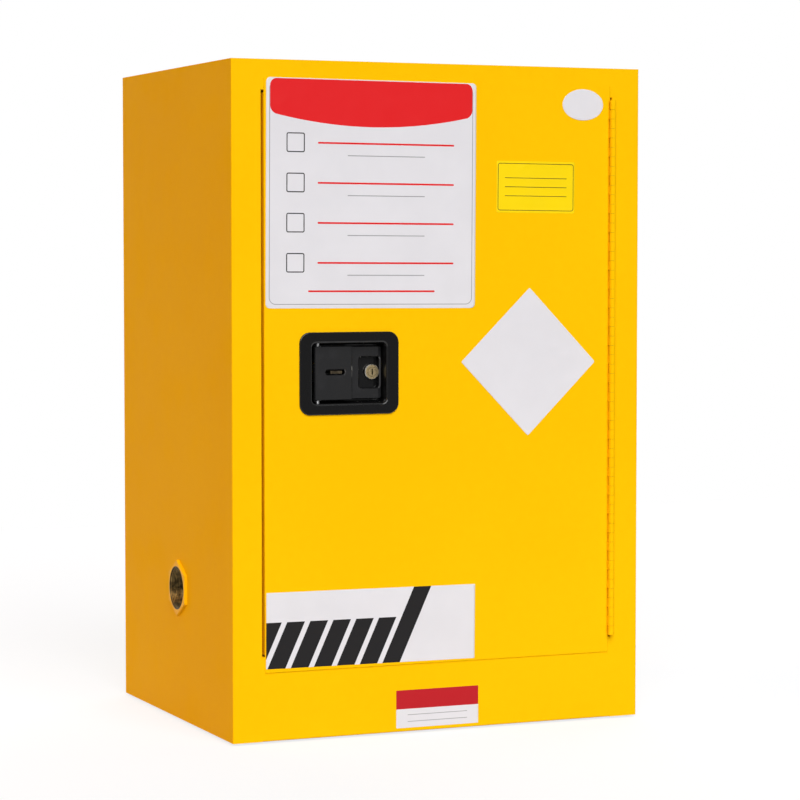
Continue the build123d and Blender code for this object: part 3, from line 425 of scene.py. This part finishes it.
# The keyway's floor and a thin ring at the seam round the plug are painted dark, as shade in the slot
# and the gap.
keyway = (inward - low.y).rise(0.0004, 0.0010) * reach.rise(0.0060, 0.0056)
plug_seam_shade = (reach - PLUG_RADIUS).maths("ABSOLUTE").rise(0.0004, 0.0001)
painted_shade = keyway.maths("MAXIMUM", plug_seam_shade * 0.7)
painted_shade.mix(face_tone, LOCK_PAINTED_SHADE).into(shader, "Base Color")
(noise(place, 0.003, 3.0) * 0.16 + 0.20).into(shader, "Roughness")
relief(rings, shader, 0.0001, 0.30)
dress(lock_brass, "lock_body", "lock_plug")
dress(plated, "lock_nut", "lock_cam")

# Latch linkage inside the door: a hub on a riveted stud, with its clip, two flat zinc-coated rods
# and the saddles that guide them.
dress(zinc, "latch_hub", "upper_rod", "lower_rod", "rod_guides")
dress(plated, "hub_stud", "hub_clip_ring")


# Stickers: printed vinyl, cut with rounded corners and rubbed on by hand, so a few air bubbles stay
# under each. They carry plain fields, rules and stripes.
FILM = 0.00018
GLUE = 0.00004


def sticker(name, size, corner, centre, face, tilt, bubbles, seed, material, body):
    """A rectangle with rounded corners: each row across it is as wide as the corner arcs leave, and
    rows gather at the ends."""
    columns, rows = 121, 121
    half_width, half_height = size[0] / 2, size[1] / 2
    t = np.sin(np.pi / 2 * np.linspace(-1, 1, rows))[:, None] * half_height
    over = np.clip(np.abs(t) - (half_height - corner), 0, corner)
    reach = half_width - corner + np.sqrt(np.maximum(corner ** 2 - over ** 2, 0))
    s = np.linspace(-1, 1, columns)[None, :] * reach
    return lay(name, s, t + 0 * s, size, centre, face, tilt, bubbles, seed, material, body)


def lay(name, s, t, size, centre, face, tilt, bubbles, seed, material, body):
    """Puts a flat grid of places on an upright face. Bubbles are bell-shaped bumps at seeded places,
    and the print's UV map runs from 0 to 1 both ways."""
    draw = np.random.default_rng(seed)
    lift = np.zeros_like(s)
    for _ in range(bubbles):
        bubble_s, bubble_t = draw.uniform(-0.42, 0.42, 2) * size
        radius, height = draw.uniform(0.004, 0.009), draw.uniform(0.00010, 0.00032)
        lean = draw.uniform(-1.0, 1.0)
        along = (s - bubble_s) + lean * (t - bubble_t)
        across = (t - bubble_t) - lean * (s - bubble_s)
        lift += height * np.exp(-(along / (2.2 * radius)) ** 2 - (across / radius) ** 2)
    c, d = math.cos(tilt), math.sin(tilt)
    points = np.stack([centre[0] + c * s - d * t, face - FILM - GLUE - lift,
                       centre[1] + d * s + c * t], -1)
    piece = surface(name, points.transpose(1, 0, 2), material, body)
    corners = np.zeros(len(piece.data.loops), np.int32)
    piece.data.loops.foreach_get("vertex_index", corners)
    uv = np.stack([s / size[0] + 0.5, t / size[1] + 0.5], -1).transpose(1, 0, 2).reshape(-1, 2)
    piece.data.uv_layers.new(name="print").data.foreach_set("uv", uv[corners].ravel())
    wall = piece.modifiers.new("film", "SOLIDIFY")
    wall.thickness = FILM
    return piece


VINYL = (0.745, 0.738, 0.778, 1.0)
VINYL_LEMON = (0.950, 0.690, 0.003, 1.0)
PRINT_RED = (0.740, 0.016, 0.019, 1.0)
PRINT_CRIMSON = (0.480, 0.010, 0.017, 1.0)
PRINT_BLACK = (0.010, 0.009, 0.010, 1.0)
PRINT_GREY = (0.300, 0.300, 0.315, 1.0)
EDGE = 0.15


def vinyl(name, size, ground, fields):
    """A printed film: fields(s, t) gives the masks and colours that are printed in turn over the
    ground, from places in millimetres to the right of the middle and up from it."""
    material, shader, place = finish(name, {"Specular IOR Level": 0.22})
    u, v, _ = place.node("ShaderNodeTexCoord", output="UV").axes()
    colour = noise(place, 0.05).rise(0.3, 0.7).mix([0.97 * c for c in ground[:3]] + [1.0], ground)
    for mask, ink in fields((u - 0.5) * (1000 * size[0]), (v - 0.5) * (1000 * size[1])):
        colour = mask.mix(colour, ink)
    colour.into(shader, "Base Color")
    (noise(place, 0.02, 3.0) * 0.16 + 0.24).into(shader, "Roughness")
    relief(noise(place, 0.007) + noise(place, 0.0012) * 0.06, shader, 0.0004, 0.06)
    return material


def field(s, t, centre, size, corner=0.01):
    """Distance to the edge of a rounded rectangle, negative inside: the length of what lies past its
    corner square, or the larger of two shortfalls, less the corner's radius."""
    beyond_s = (s - centre[0]).maths("ABSOLUTE") - (size[0] / 2 - corner)
    beyond_t = (t - centre[1]).maths("ABSOLUTE") - (size[1] / 2 - corner)
    out_s, out_t = beyond_s.maths("MAXIMUM", 0.0), beyond_t.maths("MAXIMUM", 0.0)
    outside = (out_s * out_s + out_t * out_t).maths("SQRT")
    return outside + beyond_s.maths("MAXIMUM", beyond_t).maths("MINIMUM", 0.0) - corner


def filled(distance):
    return distance.rise(EDGE, -EDGE)


def outline(distance, width):
    return (distance.maths("ABSOLUTE") - width / 2).rise(EDGE, -EDGE)


def placard_fields(s, t):
    top = 148.2
    deepening = 1.375 - s * s * (0.375 / 143.5 ** 2)
    sagged = top - (top - t) * deepening.maths("POWER", -1.0)
    band = field(s, sagged, (0, 126.2), (287, 44), 9.0)
    yield outline(field(s, t, (0, 0), (288, 288), 9.0), 0.9), PRINT_GREY
    yield filled(band), PRINT_RED
    for row in (66.0, 14.0, -38.0, -90.0):
        yield outline(field(s, t, (-108, row), (24, 24), 2.0), 1.4), PRINT_BLACK
        yield filled(field(s, t, (20, row), (194, 2.4), 1.0)), PRINT_RED
        yield filled(field(s, t, (20, row - 16), (110, 1.1), 0.4)), PRINT_GREY
    yield filled(field(s, t, (0, -127), (180, 2.4), 1.0)), PRINT_RED


def stripe_fields(s, t):
    pitch, width = 32.5, 25.0
    lean = s - t * 0.45 - 37.5
    phase = (lean * (1 / pitch)).maths("FRACT") * pitch
    bars = filled((phase - width / 2).maths("ABSOLUTE") - width / 2)
    last = (lean + 4.5).rise(-EDGE, EDGE)
    low = (t - 10.7).rise(EDGE, -EDGE)
    yield bars * last.maths("MAXIMUM", low) * (lean - 28.0).rise(EDGE, -EDGE), PRINT_BLACK


def sill_fields(s, t):
    yield t.rise(-EDGE, EDGE), PRINT_CRIMSON
    for row in (-8.0, -17.0):
        yield filled(field(s, t, (0, row), (87, 0.8), 0.3)), PRINT_GREY


def lemon_fields(s, t):
    yield outline(field(s, t, (0, 0), (112, 62.5), 3.0), 0.8), PRINT_BLACK
    for row in (12.0, 0.0, -12.0):
        yield filled(field(s, t, (0, row), (92, 0.8), 0.3)), PRINT_BLACK


def no_fields(s, t):
    return ()


door_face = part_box("door_skin")[0].y
rail_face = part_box("front_bottom_rail")[0].y
stickers = (
    ("placard", (0.298, 0.2984), 0.006, (-0.0995, 0.7168), door_face, -0.006, 22, 3, VINYL,
     placard_fields, "door"),
    ("diamond", (0.1412, 0.1412), 0.002, (0.1285, 0.4935), door_face, math.pi / 4 - 0.012, 9, 5,
     VINYL, no_fields, "door"),
    ("lemon_label", (0.1165, 0.0693), 0.002, (0.1386, 0.7282), door_face, -0.008, 4, 8,
     VINYL_LEMON, lemon_fields, "door"),
    ("striped_label", (0.2986, 0.1000), 0.001, (-0.1002, 0.1472), door_face, -0.007, 10, 12,
     VINYL, stripe_fields, "door"),
    ("sill_label", (0.1199, 0.0506), 0.0008, (-0.0049, 0.0332), rail_face, 0.0, 3, 17, VINYL,
     sill_fields, "cabinet"),
)
for name, size, corner, centre, face, tilt, bubbles, seed, ground, fields, body in stickers:
    film = vinyl(name, size, ground, fields)
    sticker(name, size, corner, centre, face, tilt, bubbles, seed, film, body)

OVAL = (0.0613, 0.042)
u, v = np.meshgrid(np.linspace(-1, 1, 49), np.linspace(-1, 1, 49))
oval_s = OVAL[0] / 2 * u * np.sqrt(1 - v ** 2 / 2)
oval_t = OVAL[1] / 2 * v * np.sqrt(1 - u ** 2 / 2)
lay("oval_label", oval_s, oval_t, OVAL, (0.2090, 0.8399), door_face, 0.0, 1, 21,
    vinyl("oval_label", OVAL, VINYL, no_fields), "door")


# Studio: a pale floor that fades into a white surround, lit by a broad soft key from the front
# above, a weak warm fill from the left, a lamp behind on the right and the even light of the room.
def seen(start):
    """Light path wires: 1 for rays that reach the eye straight, in a mirror or through glass and 0 for
    light that falls on the object, and 1 for mirrored rays alone."""
    path = start.node("ShaderNodeLightPath").socket.node.outputs
    mirrored = Wire(path["Is Glossy Ray"])
    straight = Wire(path["Is Camera Ray"]) + Wire(path["Is Transmission Ray"]) + mirrored
    return straight.maths("MINIMUM", 1.0), mirrored


world = bpy.data.worlds.new("studio")
bpy.context.scene.world = world
world.use_nodes = True
room = world.node_tree.nodes["Background"]
room.inputs["Strength"].default_value = 0.36
start = Wire(room.outputs[0])
direct, mirrored = seen(start)
towards_front = start.node("ShaderNodeTexCoord", output="Generated").axes()[1].rise(0.0, -0.75)
surround = 1 - mirrored * towards_front * 0.8
WHITE = (1.0, 1.0, 1.0, 1.0)
white = start.node("ShaderNodeBackground", inputs={"Color": WHITE, "Strength": surround})
sky = start.node("ShaderNodeMixShader", inputs={0: direct, 1: start, 2: white})
sky.into(world.node_tree.nodes["World Output"], "Surface")

floor_paint = bpy.data.materials.new("studio_floor")
floor_paint.use_nodes = True
nodes = floor_paint.node_tree.nodes
nodes.remove(nodes["Principled BSDF"])
start = Wire(nodes.new("ShaderNodeBsdfDiffuse").outputs[0])
start.socket.node.inputs["Color"].default_value = (0.42, 0.42, 0.42, 1.0)
shade = start.node("ShaderNodeBsdfDiffuse", inputs={"Color": (0.25, 0.26, 0.28, 1.0)})
glow = start.node("ShaderNodeEmission", inputs={"Color": WHITE, "Strength": 0.76})
pale = start.node("ShaderNodeAddShader", inputs={0: shade, 1: glow})
ground = start.node("ShaderNodeMixShader", inputs={0: seen(start)[0], 1: start, 2: pale})
ground.into(nodes["Material Output"], "Surface")

FLOOR_REACH = 2.6
sheet = bpy.data.meshes.new("studio_floor")
floor_corners = FLOOR_REACH * np.array([[-1, -1, 0], [1, -1, 0], [1, 1, 0], [-1, 1, 0]])
sheet.from_pydata(floor_corners.tolist(), [], [(0, 1, 2, 3)])
sheet.materials.append(floor_paint)
floor = bpy.data.objects.new("studio_floor", sheet)
bpy.context.scene.collection.objects.link(floor)
floor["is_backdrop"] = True


def lamp(name, strength, colour, elevation, azimuth, spread):
    """A far lamp at an elevation, and an azimuth to the right of the front, in degrees."""
    light = bpy.data.lights.new(name, "SUN")
    light.energy = strength
    light.color = colour
    light.angle = math.radians(spread)
    holder = bpy.data.objects.new(name, light)
    holder.rotation_euler = (math.radians(90 - elevation), 0.0, math.radians(azimuth))
    bpy.context.scene.collection.objects.link(holder)


lamp("key", 3.40, (1.0, 1.0, 1.0), 34, -8, 55)
lamp("fill", 1.17, (1.0, 0.52, 0.16), 24, -96, 50)
lamp("rear", 1.60, (1.0, 1.0, 1.0), 30, 150, 60)

# Camera: a long lens from the left of the front, a little above the middle of the cabinet and
# tipped slightly down.
eye = bpy.data.cameras.new("eye")
eye.sensor_width = 36.0
eye.lens = 125.68
camera = bpy.data.objects.new("eye", eye)
camera.location = (-1.5104, -3.6185, 0.6475)
camera.rotation_euler = (math.radians(90 - 3.129), 0.0, math.radians(-23.15))
bpy.context.scene.collection.objects.link(camera)
bpy.context.scene.camera = camera
bpy.context.scene.view_settings.view_transform = "Standard"

boxes = {"cad": cad_box, "visual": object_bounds()}
{name: [list(corner) for corner in box] for name, box in boxes.items()}
